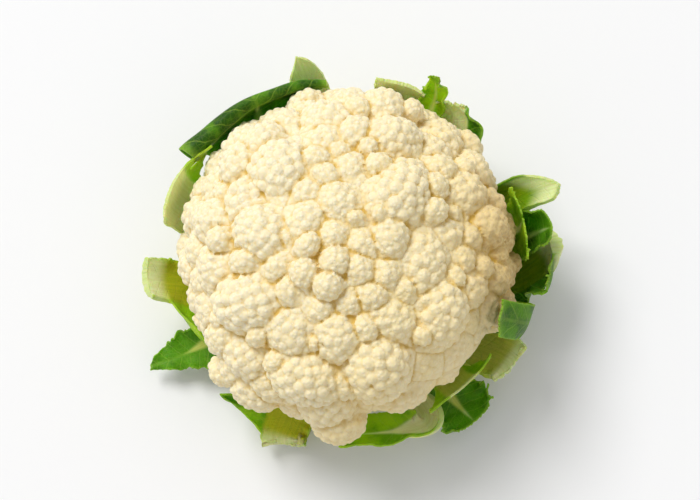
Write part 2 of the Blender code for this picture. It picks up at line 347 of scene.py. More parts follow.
def groove(places, width):
    """How near each point of the curd is to the line where two balls meet, from 0 to 1."""
    order = np.argsort(points[:, 0])
    ordered = points[order, 0]
    nearest, second = np.full((2, len(points)), FAR_OFF)
    for centre, radii, turn in places:
        reach = GROOVE_REACH * radii[0]
        first, last = np.searchsorted(ordered, (centre[0] - reach, centre[0] + reach))
        these = order[first:last]
        gap = (np.linalg.norm((points[these] - centre) @ turn / radii, axis=1) - 1) * radii[0]
        second[these] = np.minimum(second[these], np.maximum(gap, nearest[these]))
        nearest[these] = np.minimum(nearest[these], gap)
    return np.exp(-(((second - nearest) / width) ** 2))


floret_groove = groove(florets, FLORET_GROOVE_WIDTH)
lobe_groove = groove(lobes, LOBE_GROOVE_WIDTH)
edges = np.array([e.vertices for e in curd.data.edges])
rise = -floret_groove * FLORET_GROOVE - lobe_groove * LOBE_GROOVE
rise = smoothed(rise[:, None], edges, 1)
grown_points = (points + normals * rise) * MM
curd.data.vertices.foreach_set("co", grown_points.ravel())
curd.data.update()

broad_shape = smoothed(grown_points / MM, edges, HOLLOW_ROUNDS)
write_attribute(curd.data, "floret_groove", floret_groove)
write_attribute(curd.data, "lobe_groove", lobe_groove)
write_attribute(curd.data, "hollow", ((broad_shape - grown_points / MM) * normals).sum(1))
shape_with(curd, "DECIMATE", ratio=CURD_TRIANGLES / (2 * len(curd.data.polygons)))


def add_node(tree, kind, inputs=(), **settings):
    """Adds a shader node, sets it up, and gives each named or numbered input a value or a link."""
    made = tree.nodes.new("ShaderNode" + kind)
    for setting, value in settings.items():
        setattr(made, setting, value)
    for name, value in dict(inputs).items():
        if isinstance(value, bpy.types.NodeSocket):
            tree.links.new(value, made.inputs[name])
        else:
            made.inputs[name].default_value = value
    return made


def new_group(name, inputs, outputs):
    """A node group with these inputs and outputs, all numbers: its tree and its two ends."""
    tree = bpy.data.node_groups.new(name, "ShaderNodeTree")
    for socket, value in inputs:
        made = tree.interface.new_socket(socket, in_out="INPUT", socket_type="NodeSocketFloat")
        made.default_value = value
    for socket in outputs:
        tree.interface.new_socket(socket, in_out="OUTPUT", socket_type="NodeSocketFloat")
    return tree, tree.nodes.new("NodeGroupInput").outputs, tree.nodes.new("NodeGroupOutput").inputs


def place_group(tree, group, **inputs):
    inputs = {name.replace("_", " "): value for name, value in inputs.items()}
    return add_node(tree, "Group", inputs, node_tree=group).outputs


def new_finish(name, **constants):
    """A material, its node tree and its shader, with the shader's constant inputs set."""
    made = bpy.data.materials.new(name)
    made.use_nodes = True
    shader = made.node_tree.nodes["Principled BSDF"]
    for socket, value in constants.items():
        shader.inputs[socket.replace("_", " ")].default_value = value
    return made, made.node_tree, shader.inputs


def attribute(tree, name):
    return add_node(tree, "Attribute", attribute_name=name).outputs["Fac"]


def band(tree, value, low, high, start=0.0, end=1.0):
    """A value that goes smoothly from start to end while another goes from low to high."""
    inputs = {"Value": value, "From Min": low, "From Max": high, "To Min": start, "To Max": end}
    return add_node(tree, "MapRange", inputs, interpolation_type="SMOOTHSTEP").outputs[0]


def mixed(tree, share, first, second):
    """Two colours mixed by a share."""
    first, second = ((*c, 1) if isinstance(c, tuple) else c for c in (first, second))
    inputs = {0: share, 6: first, 7: second}
    return add_node(tree, "Mix", inputs, data_type="RGBA").outputs[2]


def maths(tree, way, *values):
    return add_node(tree, "Math", dict(enumerate(values)), operation=way).outputs[0]


grain, given, out = new_group(
    "fine grain", (("Width mm", 1.0), ("Patch mm", 20.0)), ("Grain", "Patches")
)
place = add_node(grain, "TexCoord").outputs["Object"]
cells = {"Vector": place, "Scale": maths(grain, "DIVIDE", 1000, given["Width mm"])}
cells["Smoothness"] = 0.4
cell = add_node(grain, "TexVoronoi", cells, feature="SMOOTH_F1").outputs["Distance"]
grain.links.new(band(grain, cell, 0.1, 0.75), out["Grain"])
cloud = {"Vector": place, "Scale": maths(grain, "DIVIDE", 1000, given["Patch mm"]), "Detail": 3}
cloud = add_node(grain, "TexNoise", cloud).outputs["Fac"]
grain.links.new(band(grain, cloud, 0.32, 0.68), out["Patches"])

CREAM, WARM, OCHRE = (0.94, 0.86, 0.64), (0.88, 0.7, 0.32), (0.66, 0.42, 0.06)
# The colour and the two places below paint shade into the curd: on its side turned from the light,
# and in a patch on its right.
SHADE_TAN = (0.5, 0.3, 0.07)
SHADE_SIDE_WAY = (0.75, -0.35, -0.55)
SHADED_PATCH_AT = (0.078, 0.002, 0.066)
finish, tree, shader = new_finish(
    "curd flesh", Subsurface_Weight=0.2, Subsurface_Scale=0.002, Subsurface_Radius=(1, 0.8, 0.4),
    Specular_IOR_Level=0.25,
)
grained = place_group(tree, grain, Width_mm=1.9, Patch_mm=26)
crease_shade_patches = place_group(tree, grain, Width_mm=1.9, Patch_mm=9)["Patches"]
place = add_node(tree, "TexCoord").outputs["Object"]
toward = add_node(tree, "VectorMath", {0: place, 1: SHADE_SIDE_WAY}, operation="DOT_PRODUCT")
away = add_node(tree, "VectorMath", {0: place, 1: SHADED_PATCH_AT}, operation="DISTANCE")
# Painted shade: the front right low side of the curd, turned away from the light, is mixed in
# patches to a warmer, darker cream, so the side towards the light stays whiter.
painted_side_shade = band(tree, toward.outputs["Value"], -0.1, 0.03)
painted_side_shade = maths(tree, "MULTIPLY", painted_side_shade, band(tree, grained["Patches"], 0, 1, 0.5, 0.75))
colour = mixed(tree, painted_side_shade, CREAM, WARM)
# Painted shade: a darker tan patch round a point on the right of the curd, where its florets turn
# away from the light.
painted_shade_patch = band(tree, away.outputs["Value"], 0.015, 0.05, 0.75, 0)
colour = mixed(tree, painted_shade_patch, colour, SHADE_TAN)
# Painted shade in the curd's creases, partly also the flesh's own yellower colour: warm in the gaps
# between buds and lobes, and ochre, in patches, down the hollows and grooves between florets.
colour = mixed(tree, maths(tree, "MULTIPLY", grained["Grain"], 0.35), colour, WARM)
colour = mixed(tree, band(tree, attribute(tree, "lobe_groove"), 0.1, 1, 0, 0.6), colour, WARM)
groove_share = band(tree, attribute(tree, "floret_groove"), 0.4, 1, 0, 0.5)
painted_crease_shade = maths(tree, "MAXIMUM", band(tree, attribute(tree, "hollow"), 0.1, 1.2), groove_share)
painted_crease_shade = maths(tree, "MULTIPLY", painted_crease_shade, band(tree, crease_shade_patches, 0.1, 0.9, 0.4, 0.95))
colour = mixed(tree, painted_crease_shade, colour, OCHRE)
tree.links.new(colour, shader["Base Color"])
tree.links.new(band(tree, grained["Patches"], 0, 1, 0.5, 0.62), shader["Roughness"])
buds = maths(tree, "SUBTRACT", 1, grained["Grain"])
bump = {"Height": buds, "Distance": 0.5 * MM, "Strength": 0.6}
tree.links.new(add_node(tree, "Bump", bump).outputs[0], shader["Normal"])
curd.data.materials.append(finish)
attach(curd, "root")
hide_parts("curd")


# Stalk: the thick stem under the curd, a solid fleshy cylinder cut square below its lowest leaves.
# The cut face is pale and wet-looking with a ring of woody strands, and the side carries the scars
# and stumps of the leaves that were cut off.
STALK_PROFILE = (
    (0, 0), (12, 0), (17.2, 0.1), (18.6, 0.9), (19, 3), (18.8, 9), (19.6, 16), (20.6, 24), (22, 31),
    (24, 36), (20, 39), (0, 40),
)
STALK_SIDES = 96
STALK_VOXEL = 0.9 * MM
SIDE_RADIUS = 19
SCARS = ((30, 5), (75, 7), (128, 4.5), (170, 8), (222, 5.5), (270, 7.5), (318, 5), (345, 8.5))
SCAR_HALF_WIDTH, SCAR_HALF_HEIGHT, SCAR_SLOPE = 9, 1.6, 0.03
BROAD_SWELL, NARROW_SWELL, SCAR_SWELL = 0.5, 0.35, 0.7
WOODY_RING = 14.5 * MM


def smooth(value, low, high):
    share = np.clip((np.asarray(value, float) - low) / (high - low), 0, 1)
    return share * share * (3 - 2 * share)


stalk = spin_profile("cauliflower_stalk", STALK_PROFILE, STALK_SIDES)
shape_with(stalk, "REMESH", mode="VOXEL", voxel_size=STALK_VOXEL, use_smooth_shade=True)
points = points_of(stalk.data) / MM
bearing = np.degrees(np.arctan2(points[:, 1], points[:, 0])) % 360
reach = np.hypot(points[:, 0], points[:, 1])
side = smooth(reach, 15, 18) * smooth(points[:, 2], 0.6, 3)
scar = np.zeros(len(points))
for at, height in SCARS:
    turn = (bearing - at + 180) % 360 - 180
    rise = points[:, 2] - height - SCAR_SLOPE * turn
    away = np.hypot(np.radians(turn) * SIDE_RADIUS / SCAR_HALF_WIDTH, rise / SCAR_HALF_HEIGHT)
    scar = np.maximum(scar, 1 - smooth(away, 0.7, 1.1))
swell = BROAD_SWELL * np.sin(np.radians(bearing) * 5 + 1)
swell += NARROW_SWELL * np.sin(np.radians(bearing) * 11)
swell = swell * side + SCAR_SWELL * scar * side
points[:, :2] *= (1 + swell / np.maximum(reach, 1))[:, None]
stalk.data.vertices.foreach_set("co", (points * MM).ravel())
stalk.data.update()
write_attribute(stalk.data, "scar", scar * side)
write_attribute(stalk.data, "side", smooth(points[:, 2], 0.3, 1.4))

WOOD, PITH = (0.62, 0.6, 0.36), (0.8, 0.79, 0.6)
SKIN, BROWN = (0.55, 0.62, 0.3), (0.3, 0.2, 0.08)
finish, tree, shader = new_finish("stalk flesh", Specular_IOR_Level=0.35)
grained = place_group(tree, grain, Width_mm=0.9, Patch_mm=9)
place = add_node(tree, "TexCoord").outputs["Object"]
split = add_node(tree, "SeparateXYZ", {0: place}).outputs
squares = [maths(tree, "POWER", split[axis], 2) for axis in (0, 1)]
reach = maths(tree, "SQRT", maths(tree, "ADD", *squares))
off_ring = maths(tree, "ABSOLUTE", maths(tree, "SUBTRACT", reach, WOODY_RING))
ring = maths(tree, "SUBTRACT", 1, band(tree, off_ring, 0.6 * MM, 1.6 * MM))
face = mixed(tree, maths(tree, "MULTIPLY", grained["Grain"], 0.35), PITH, WOOD)
face = mixed(tree, maths(tree, "MULTIPLY", ring, 0.6), face, WOOD)
stretched = add_node(tree, "Mapping", {"Vector": place, "Scale": (1, 1, 0.12)}).outputs[0]
strands = {"Vector": stretched, "Scale": 900, "Detail": 2}
strands = add_node(tree, "TexNoise", strands).outputs["Fac"]
bark = mixed(tree, band(tree, strands, 0.35, 0.65), SKIN, PITH)
bark = mixed(tree, maths(tree, "MULTIPLY", attribute(tree, "scar"), 0.45), bark, WOOD)
colour = mixed(tree, attribute(tree, "side"), face, bark)
colour = mixed(tree, band(tree, grained["Patches"], 0.6, 1, 0, 0.35), colour, BROWN)
tree.links.new(colour, shader["Base Color"])
tree.links.new(band(tree, grained["Patches"], 0, 1, 0.42, 0.6), shader["Roughness"])
relief = maths(tree, "ADD", strands, grained["Grain"])
bump = {"Height": relief, "Distance": 0.2 * MM, "Strength": 0.6}
tree.links.new(add_node(tree, "Bump", bump).outputs[0], shader["Normal"])
stalk.data.materials.append(finish)
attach(stalk, "root")
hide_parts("stalk")


# Leaves: cropped bracts that cup the curd, each a fleshy channelled midrib with thin blade on both
# sides. Each grows from the side of the stalk, curves out under the curd and was cut at its rim, so
# its end shows wet pale flesh, and what is left of its blade is torn, curled or folded over.
LEAF_ROWS, LEAF_COLUMNS = 84, 45
LENGTH_POINTS = 40
ALONG_STEP = 0.01
LAST_SHARE = 1.12
FOOT_SUNK, FOOT_SPREAD = 5, 1.5
BLADE_THICK = 0.9
RIB_ROUNDING = 0.55
RIDGE_DEPTH, RIDGE_TURN = 0.06, 1.9
JAG_SIZE, FINE_JAG_SIZE, FINE_JAG = 1.1, 0.45, 0.6
JAG_SPREAD, SIDES_APART = 12, 60
NICK_SIZE, NICK_DEPTH = 2.4, 0.06
WAVE_SIZE, WAVE_NOISE = 6, 0.7
WAVER, WAVER_SIZE = 0.8, 17
HOLE_SPREAD = 16
CREASE_ANGLE = math.radians(48)


def along_stations(rows, share):
    """Every number of the stations, read at shares of the way along a smooth curve through them.
    A torn tip may run past the last station, up to LAST_SHARE."""
    rows = np.array(rows, float)
    last = len(rows) - 1
    place = np.clip(share, 0, LAST_SHARE) * last
    k = np.minimum(place.astype(int), last - 1)
    t = (place - k)[..., None]
    a, b, c, d = rows[np.maximum(k - 1, 0)], rows[k], rows[k + 1], rows[np.minimum(k + 2, last)]
    square, cube = 2 * a - 5 * b + 4 * c - d, 3 * b - a - 3 * c + d
    return ((2 * b) + (c - a) * t + square * t**2 + cube * t**3) / 2


def rib_points(stations):
    bearing, reach = np.radians(stations[..., 0]), stations[..., 1]
    return np.stack((reach * np.cos(bearing), reach * np.sin(bearing), stations[..., 2]), -1)


def units(vectors):
    return vectors / np.linalg.norm(vectors, axis=-1, keepdims=True)


def ripple(places, seed, size):
    """Smooth noise of about -1 to 1 that changes over a size in mm, along a line or in space."""
    places = np.asarray(places) / size
    if places.ndim == 1:
        places = np.stack((places, np.zeros_like(places), np.zeros_like(places)), 1)
    start = Vector((0, seed * 7.3, seed * 3.1))
    return np.array([noise.noise(Vector(place) + start) for place in places]) * 1.8


def leaf_points(rows, across, share):
    """Points of a leaf's inner face, with the ways that it faces and runs there."""
    station = along_stations(rows, share)
    ahead = rib_points(along_stations(rows, share + ALONG_STEP))
    along = units(ahead - rib_points(along_stations(rows, share - ALONG_STEP)))
    bearing, lean = np.radians(station[..., 0]), np.radians(station[..., 3])
    inwards = -np.sin(lean)
    facing = np.stack((inwards * np.cos(bearing), inwards * np.sin(bearing), np.cos(lean)), -1)
    facing = units(facing - along * (facing * along).sum(-1, keepdims=True))
    side = np.cross(facing, along)
    reach = across * np.where(across > 0, station[..., 4], station[..., 5])
    turn, cup = (reach / station[..., 7])[..., None], station[..., 7, None]
    point = rib_points(station) + (side * np.sin(turn) + facing * (1 - np.cos(turn))) * cup
    inward = facing * np.cos(turn) - side * np.sin(turn)
    return point, inward, along, reach, station[..., 6]


def make_leaf(
    name, rows, cut=(1, 1, 1), torn=0.6, teeth=0.5, ruffle=0.6, waves=4, blade_from=0.6,
    rib=(12, 12), tone=0.5, pale=0.4, roll=None, holes=(), thinned=0.4, seed=1,
):
    """One leaf from its stations, each (bearing, reach, height, lean, left, right, thickness, cup):
    where the rib is, how far its inner face leans from upwards to the stalk, its half widths and
    the radius that it is cupped to. cut is how much of the length its left, middle and right keep,
    torn the depth of the tear, rib the half width of its fleshy part from the foot to the end, and
    roll the share of it that is rolled up outwards, the roll's radius at the left and at the right,
    and its turn. tone goes from dark to bright green, and pale from green to whitish flesh."""
    bpy.ops.object.select_all(action="DESELECT")
    bpy.ops.mesh.primitive_grid_add(
        x_subdivisions=LEAF_COLUMNS - 1, y_subdivisions=LEAF_ROWS - 1, size=2
    )
    leaf = bpy.context.object
    leaf.name = leaf.data.name = "cauliflower_" + name
    flat = points_of(leaf.data)
    across, share = -flat[:, 0], (flat[:, 1] + 1) / 2
    bearing, reach, height, lean, left, right, *others = rows[0]
    widths = left * FOOT_SPREAD, right * FOOT_SPREAD
    rows = [(bearing, reach - FOOT_SUNK, height, lean, *widths, *others), *rows[1:]]
    line = rib_points(along_stations(rows, np.linspace(0, 1, LENGTH_POINTS)))
    length = np.linalg.norm(np.diff(line, axis=0), axis=1).sum()
    rolled = np.zeros(len(share))
    if roll:
        rolled = np.clip((share - 1 + roll[0]) / roll[0], 0, 1)
        share = np.minimum(share / (1 - roll[0]), 1)
    edge = np.abs(across)
    keep = np.interp(across, (-1, 0, 1), cut[::-1])
    jag = ripple(across * JAG_SPREAD + 40, seed, JAG_SIZE)
    jag += FINE_JAG * ripple(across * JAG_SPREAD, seed + 3, FINE_JAG_SIZE)
    share = share * (keep + torn / length * jag * smooth(share, 0.8, 1) * (rolled == 0))
    late = smooth(share, blade_from - 0.15, blade_from + 0.1)
    place = share * length + np.sign(across) * SIDES_APART
    nick = ripple(place, seed + 1, NICK_SIZE)
    across = across * (1 + teeth * NICK_DEPTH * nick * edge**6 * late)
    point, inward, along, reach, thick = leaf_points(rows, across, share)
    wave = np.sin(share * waves * math.tau + seed + 2.4 * (across > 0))
    wave += WAVE_NOISE * ripple(place, seed + 5, WAVE_SIZE)
    point += inward * (ruffle * wave * edge**2.5 * late)[:, None]
    rolled_length = 0
    if roll:
        radius = np.interp(across, (-1, 1), (roll[2], roll[1]))
        angle = np.radians(roll[3]) * rolled
        forward, back = radius * np.sin(angle), radius * (1 - np.cos(angle))
        point += along * forward[:, None] - inward * back[:, None]
        rolled_length = radius * angle
    waver = WAVER * ripple(point, seed + 2, WAVER_SIZE) * smooth(share, 0.1, 0.4)
    point += inward * waver[:, None]
    leaf.data.vertices.foreach_set("co", (point * MM).ravel())

    half = np.interp(share, np.linspace(0, 1, len(rib)), rib)
    fleshy = 1 - smooth(np.abs(reach), half - 1, half + 1)
    rounded = np.clip(np.abs(reach) / half, 0, 1) ** 2
    thick = thick * (1 - thinned * smooth(share / keep, 0.75, 1))
    ridges = 1 + RIDGE_DEPTH * np.cos(reach * RIDGE_TURN)
    depth = np.maximum(fleshy * thick * (1 - RIB_ROUNDING * rounded) * ridges, BLADE_THICK)
    group = leaf.vertex_groups.new(name="thickness")
    for k, weight in enumerate(depth / depth.max()):
        group.add([k], float(weight), "REPLACE")
    corner = np.empty(len(leaf.data.loops), int)
    leaf.data.loops.foreach_get("vertex_index", corner)
    run = np.stack((reach * MM, (share * length + rolled_length) * MM), 1)
    uv = leaf.data.uv_layers.new(name="along the leaf")
    uv.data.foreach_set("uv", run[corner].ravel().astype(np.float32))
    ended = smooth(share / keep, 0.965, 1) * (rolled == 0)
    write_attribute(leaf.data, "fleshy", fleshy)
    write_attribute(leaf.data, "edge", np.maximum(smooth(edge, 0.88, 1), ended))
    write_attribute(leaf.data, "tip", smooth(share / keep, 0.35, 1))
    write_attribute(leaf.data, "tone", np.full(len(point), float(tone)))
    write_attribute(leaf.data, "pale", np.full(len(point), float(pale)))

    for at_across, at_share, size in holes:
        away = np.hypot((across - at_across) * HOLE_SPREAD, (share - at_share) * length)
        for face in leaf.data.polygons:
            face.select = bool((away[list(face.vertices)] < size).any())
        leaf.data.vertices.foreach_set("select", np.zeros(len(leaf.data.vertices), bool))
        leaf.data.edges.foreach_set("select", np.zeros(len(leaf.data.edges), bool))
        only(leaf)
        bpy.ops.object.mode_set(mode="EDIT")
        bpy.ops.mesh.select_mode(type="FACE")
        bpy.ops.mesh.delete(type="FACE")
        bpy.ops.object.mode_set(mode="OBJECT")
    shape_with(
        leaf, "SOLIDIFY", thickness=depth.max() * MM, offset=-1, vertex_group="thickness",
        material_offset=1, material_offset_rim=2,
    )
    only(leaf)
    bpy.ops.object.shade_smooth_by_angle(angle=CREASE_ANGLE)
    for coat in (leaf_inside, leaf_outside, cut_flesh):
        leaf.data.materials.append(coat)
    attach(leaf, "root")
    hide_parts(name)


veins, given, out = new_group("leaf veins", (("Spacing mm", 9.0),), ("Veins", "Net", "Streaks"))
uv = add_node(veins, "UVMap", uv_map="along the leaf").outputs[0]
split = add_node(veins, "SeparateXYZ", {0: uv}).outputs
bend = add_node(veins, "TexNoise", {"Vector": uv, "Scale": 90}).outputs["Fac"]
slant = maths(veins, "MULTIPLY", maths(veins, "ABSOLUTE", split[0]), -0.85)
run = maths(veins, "ADD", split[1], slant)
run = maths(veins, "ADD", run, maths(veins, "MULTIPLY", bend, 6 * MM))
run = maths(veins, "DIVIDE", maths(veins, "MULTIPLY", run, 1000), given["Spacing mm"])
run = maths(veins, "FRACT", run)
off = maths(veins, "ABSOLUTE", maths(veins, "SUBTRACT", run, 0.5))
side_veins = band(veins, off, 0.02, 0.07, 1, 0)
middle = band(veins, maths(veins, "ABSOLUTE", split[0]), 0.4 * MM, 1.2 * MM, 1, 0)
middle = maths(veins, "MULTIPLY", middle, 0.6)
veins.links.new(maths(veins, "MAXIMUM", side_veins, middle), out["Veins"])
cells = {"Vector": uv, "Scale": 420}
cell = add_node(veins, "TexVoronoi", cells, feature="DISTANCE_TO_EDGE").outputs["Distance"]
veins.links.new(band(veins, cell, 0.02, 0.12, 1, 0), out["Net"])
stretched = add_node(veins, "Mapping", {"Vector": uv, "Scale": (1, 0.06, 1)}).outputs[0]
lines = {"Vector": stretched, "Scale": 900, "Detail": 2}
lines = add_node(veins, "TexNoise", lines).outputs["Fac"]
veins.links.new(band(veins, lines, 0.38, 0.62), out["Streaks"])

DARK, MIDDLE, BRIGHT = (0.018, 0.075, 0.002), (0.1, 0.27, 0.003), (0.38, 0.6, 0.004)
VEIN, BLOOM = (0.36, 0.52, 0.06), (0.08, 0.24, 0.06)
OLIVE, MOSS, WHITISH = (0.55, 0.57, 0.012), (0.36, 0.48, 0.008), (0.84, 0.87, 0.48)


def leaf_coat(name, bloom, vein_height):
    """The skin of one side of a leaf: veined green blade, and pale streaked flesh along its rib."""
    coat, tree, shader = new_finish(
        name, Specular_IOR_Level=0.15, Subsurface_Weight=0.5, Subsurface_Scale=0.004,
        Subsurface_Radius=(0.55, 1, 0.08),
    )
    veined = place_group(tree, veins, Spacing_mm=8.5)
    grained = place_group(tree, grain, Width_mm=0.7, Patch_mm=11)
    tone, pale = attribute(tree, "tone"), attribute(tree, "pale")
    patched = maths(tree, "ADD", tone, band(tree, grained["Patches"], 0, 1, -0.14, 0.14))
    blade = mixed(tree, band(tree, patched, 0, 0.5), DARK, MIDDLE)
    blade = mixed(tree, band(tree, patched, 0.5, 1), blade, BRIGHT)
    blade = mixed(tree, maths(tree, "MULTIPLY", veined["Net"], 0.1), blade, VEIN)
    blade = mixed(tree, maths(tree, "MULTIPLY", veined["Veins"], 0.28), blade, VEIN)
    paleness = maths(tree, "ADD", pale, band(tree, attribute(tree, "tip"), 0.72, 1, 0, 0.9))
    flesh = mixed(tree, maths(tree, "MULTIPLY", veined["Streaks"], 0.5), OLIVE, MOSS)
    flesh = mixed(tree, band(tree, tone, 0.15, 0.45), MIDDLE, flesh)
    flesh = mixed(tree, band(tree, paleness, 0, 1.1), flesh, WHITISH)
    flesh = mixed(tree, maths(tree, "MULTIPLY", veined["Streaks"], 0.2), flesh, OLIVE)
    colour = mixed(tree, attribute(tree, "fleshy"), blade, flesh)
    bloomed = maths(tree, "MULTIPLY", band(tree, grained["Patches"], 0.2, 0.9), bloom)
    colour = mixed(tree, bloomed, colour, BLOOM)
    colour = mixed(tree, maths(tree, "MULTIPLY", attribute(tree, "edge"), 0.4), colour, VEIN)
    tree.links.new(colour, shader["Base Color"])
    tree.links.new(band(tree, grained["Patches"], 0, 1, 0.38, 0.55), shader["Roughness"])
    height = maths(tree, "MAXIMUM", veined["Veins"], maths(tree, "MULTIPLY", veined["Net"], 0.4))
    height = maths(tree, "MULTIPLY", height, vein_height)
    height = maths(tree, "ADD", height, maths(tree, "MULTIPLY", veined["Streaks"], 0.3))
    height = maths(tree, "ADD", height, maths(tree, "MULTIPLY", grained["Grain"], 0.2))
    bump = {"Height": height, "Distance": 0.25 * MM, "Strength": 0.7}
    tree.links.new(add_node(tree, "Bump", bump).outputs[0], shader["Normal"])
    return coat


leaf_inside = leaf_coat("leaf inside", 0.03, -1.0)
leaf_outside = leaf_coat("leaf outside", 0.2, 1.0)

cut_flesh, tree, shader = new_finish("cut leaf flesh", Specular_IOR_Level=0.5)
grained = place_group(tree, grain, Width_mm=0.5, Patch_mm=3)
colour = mixed(tree, grained["Grain"], (0.66, 0.7, 0.42), (0.42, 0.5, 0.2))
colour = mixed(tree, band(tree, grained["Patches"], 0.75, 1, 0, 0.5), colour, BROWN)
tree.links.new(colour, shader["Base Color"])
tree.links.new(band(tree, grained["Patches"], 0, 1, 0.3, 0.5), shader["Roughness"])
bump = {"Height": grained["Grain"], "Distance": 0.15 * MM, "Strength": 0.5}
tree.links.new(add_node(tree, "Bump", bump).outputs[0], shader["Normal"])

# Its dark tone and lack of paleness are partly the leaf's own dark green and partly painted shade
# on its inner face.
make_leaf(
    "leaf_right_upper", (
        (22, 20.5, 12, 0, 4, 4, 8, 16), (22, 48, 15, 10, 9, 8, 7, 16),
        (22, 74, 28, 45, 11, 8, 5.5, 12), (22, 92, 44, 52, 11, 8, 4.5, 10),
        (20, 108, 58, 48, 7, 6.5, 3.5, 10),
    ),
    cut=(0.82, 1, 0.95), rib=(12, 9), tone=0.22, pale=0, seed=1,
)
make_leaf(
    "leaf_right_inner", (
        (12, 20.5, 28, 0, 4.5, 4.5, 4, 60), (12, 50, 30, 5, 8, 8, 3.5, 60),
        (12, 73, 34, 40, 9, 9, 2.5, 80), (12, 85, 46, 80, 15, 15, 1.5, 86),
        (12, 85, 63, 92, 17, 19, 1.5, 86),
    ),
    rib=(8, -1), torn=2.4, teeth=1, ruffle=0.4, tone=0.75, pale=0.5, seed=2,
)
make_leaf(
    "leaf_right_folded", (
        (7, 20.5, 20, 0, 5, 5, 6, 20), (8, 50, 21, 10, 7, 7, 5, 18), (9, 77, 28, 40, 9, 8, 3, 12),
        (10, 93, 44, 60, 14, 12, 2, 10), (9, 99, 58, 75, 10, 11, 1.5, 9),
    ),
    rib=(7, -1), torn=1, teeth=1, ruffle=0.8, tone=0.22, pale=0.3, seed=3,
)
make_leaf(
    "leaf_right", (
        (355, 20.5, 12, 0, 4, 3.5, 8, 28), (356, 50, 13, 5, 9, 8.5, 7, 24),
        (358, 77, 19, 25, 10, 13, 5.5, 20), (362, 94, 32, 45, 11, 24, 6, 20),
        (367, 99, 45, 50, 11, 18, 7, 20),
    ),
    cut=(1, 1, 0.88), rib=(10, 7), torn=1.2, teeth=2, ruffle=2.8, waves=5, blade_from=0.5,
    tone=0.22, pale=0.05, holes=((-0.72, 0.8, 1.6),), thinned=0, seed=4,
)
make_leaf(
    "leaf_right_cheek", (
        (342, 20.5, 28, 0, 4.5, 4.5, 4, 60), (342, 50, 30, 5, 8, 8, 3.5, 60),
        (342, 74, 35, 45, 9, 8, 2.5, 60), (341, 91, 52, 80, 9, 9, 1.5, 40),
        (334.5, 77, 80.5, 128, 8.5, 8.5, 1.5, 40),
    ),
    cut=(0.98, 1, 0.95), rib=(8, -3), torn=0.6, teeth=0.4, ruffle=0.8, waves=2, tone=0.3,
    pale=0.4, seed=5,
)
make_leaf(
    "leaf_right_lower", (
        (331, 20.5, 12, 0, 3.5, 4, 8, 30), (331, 50, 13, 5, 8, 9, 7, 30),
        (331, 72, 18, 25, 11, 10, 6, 24), (331, 86, 26, 35, 12, 11, 5, 22),
        (330, 93, 29, 35, 11.5, 11, 4, 22),
    ),
    cut=(1, 0.98, 0.95), rib=(12, 13), torn=1.6, tone=0.6, pale=0.3, seed=6,
)
make_leaf(
    "leaf_front_right_inner", (
        (314, 20.5, 28, 0, 4.5, 4.5, 4, 60), (314, 50, 30, 5, 8, 8, 3.5, 60),
        (313, 72, 32, 40, 9, 9, 2.5, 70), (312.5, 79.5, 41, 84, 17, 18, 1.5, 85),
        (313, 81, 52, 90, 20, 21, 1.5, 100),
    ),
    rib=(8, 8, 8, 9), torn=0.8, teeth=0.6, ruffle=0.6, tone=0.85, pale=0.35, thinned=0.6, seed=7,
)
make_leaf(
    "leaf_front_right", (
        (311, 20.5, 20, 0, 5, 5, 6, 30), (311, 48, 20, 0, 7, 7, 5, 30),
        (311, 70, 15, 0, 9, 8, 4, 24), (311, 84, 11, 5, 17, 15, 3, 18),
        (311, 95, 16, 40, 16, 15, 2, 17),
    ),
    rib=(8, -1), torn=1.4, teeth=1.8, ruffle=2, waves=6, tone=0.42, pale=0.4, seed=8,
)
make_leaf(
    "leaf_front", (
        (299, 20.5, 12, 0, 4, 4, 8, 30), (299, 46, 12, 0, 8, 7, 7, 20),
        (299, 66, 15, 0, 6, 6, 6, 12), (298, 82, 25, 10, 7.5, 7.5, 6, 8),
        (290, 83, 31, 26, 6.5, 10, 4.5, 12), (280, 81, 33, 34, 9, 11, 2, 24),
        (268, 80, 34, 40, 11, 12, 1.5, 26),
    ),
    rib=(9, 9, 8, 1, -1), torn=3, teeth=1.2, ruffle=0.9, waves=5, blade_from=0.6, tone=0.8,
    pale=0.9, seed=9,
)
make_leaf(
    "leaf_front_left", (
        (248, 20.5, 12, 0, 7, 7, 8, 60), (248, 40, 12, 0, 11, 11, 7, 50),
        (248, 58, 12, 0, 11, 12, 6.5, 36), (248, 70, 12, 0, 11, 25, 6, 30),
        (248, 77, 11, 5, 11, 40, 5.5, 36), (248, 84, 10, 5, 11, 13, 5, 30),
        (249, 88, 9, 5, 11, 11, 4.5, 28),
    ),
    rib=(12, 11), torn=0.5, teeth=1, ruffle=1.4, waves=8, blade_from=0.6, tone=0.7, pale=0.08,
    seed=10,
)
make_leaf(
    "leaf_left_lower", (
        (205, 20.5, 20, 0, 6, 6, 6, 60), (205, 50, 19, 0, 10, 8, 5, 50),
        (205, 76, 17, 5, 12, 10, 3, 30), (205, 91, 13, 5, 7, 10, 2, 30),
        (204, 107, 10, 5, 1.5, 1.5, 1.5, 60),
    ),
    rib=(9, -4), torn=0.3, teeth=2, ruffle=1.6, waves=6, blade_from=0.5, tone=0.42, pale=0.4,
    seed=11,
)
make_leaf(
    "leaf_left", (
        (184, 20.5, 12, 0, 7, 7, 8, 30), (184, 46, 13, 5, 10, 12, 7, 30),
        (184, 68, 19, 25, 13, 11, 6, 22), (184, 80, 29, 40, 46, 11, 5.5, 38),
        (184, 88, 36, 40, 13, 11, 5.5, 20), (184, 97, 43, 20, 10.5, 10, 5, 15),
    ),
    rib=(12, 10.5), torn=0.7, teeth=0.8, ruffle=1, blade_from=0.5, tone=0.85, pale=0.1,
    thinned=0.1, seed=12,
)
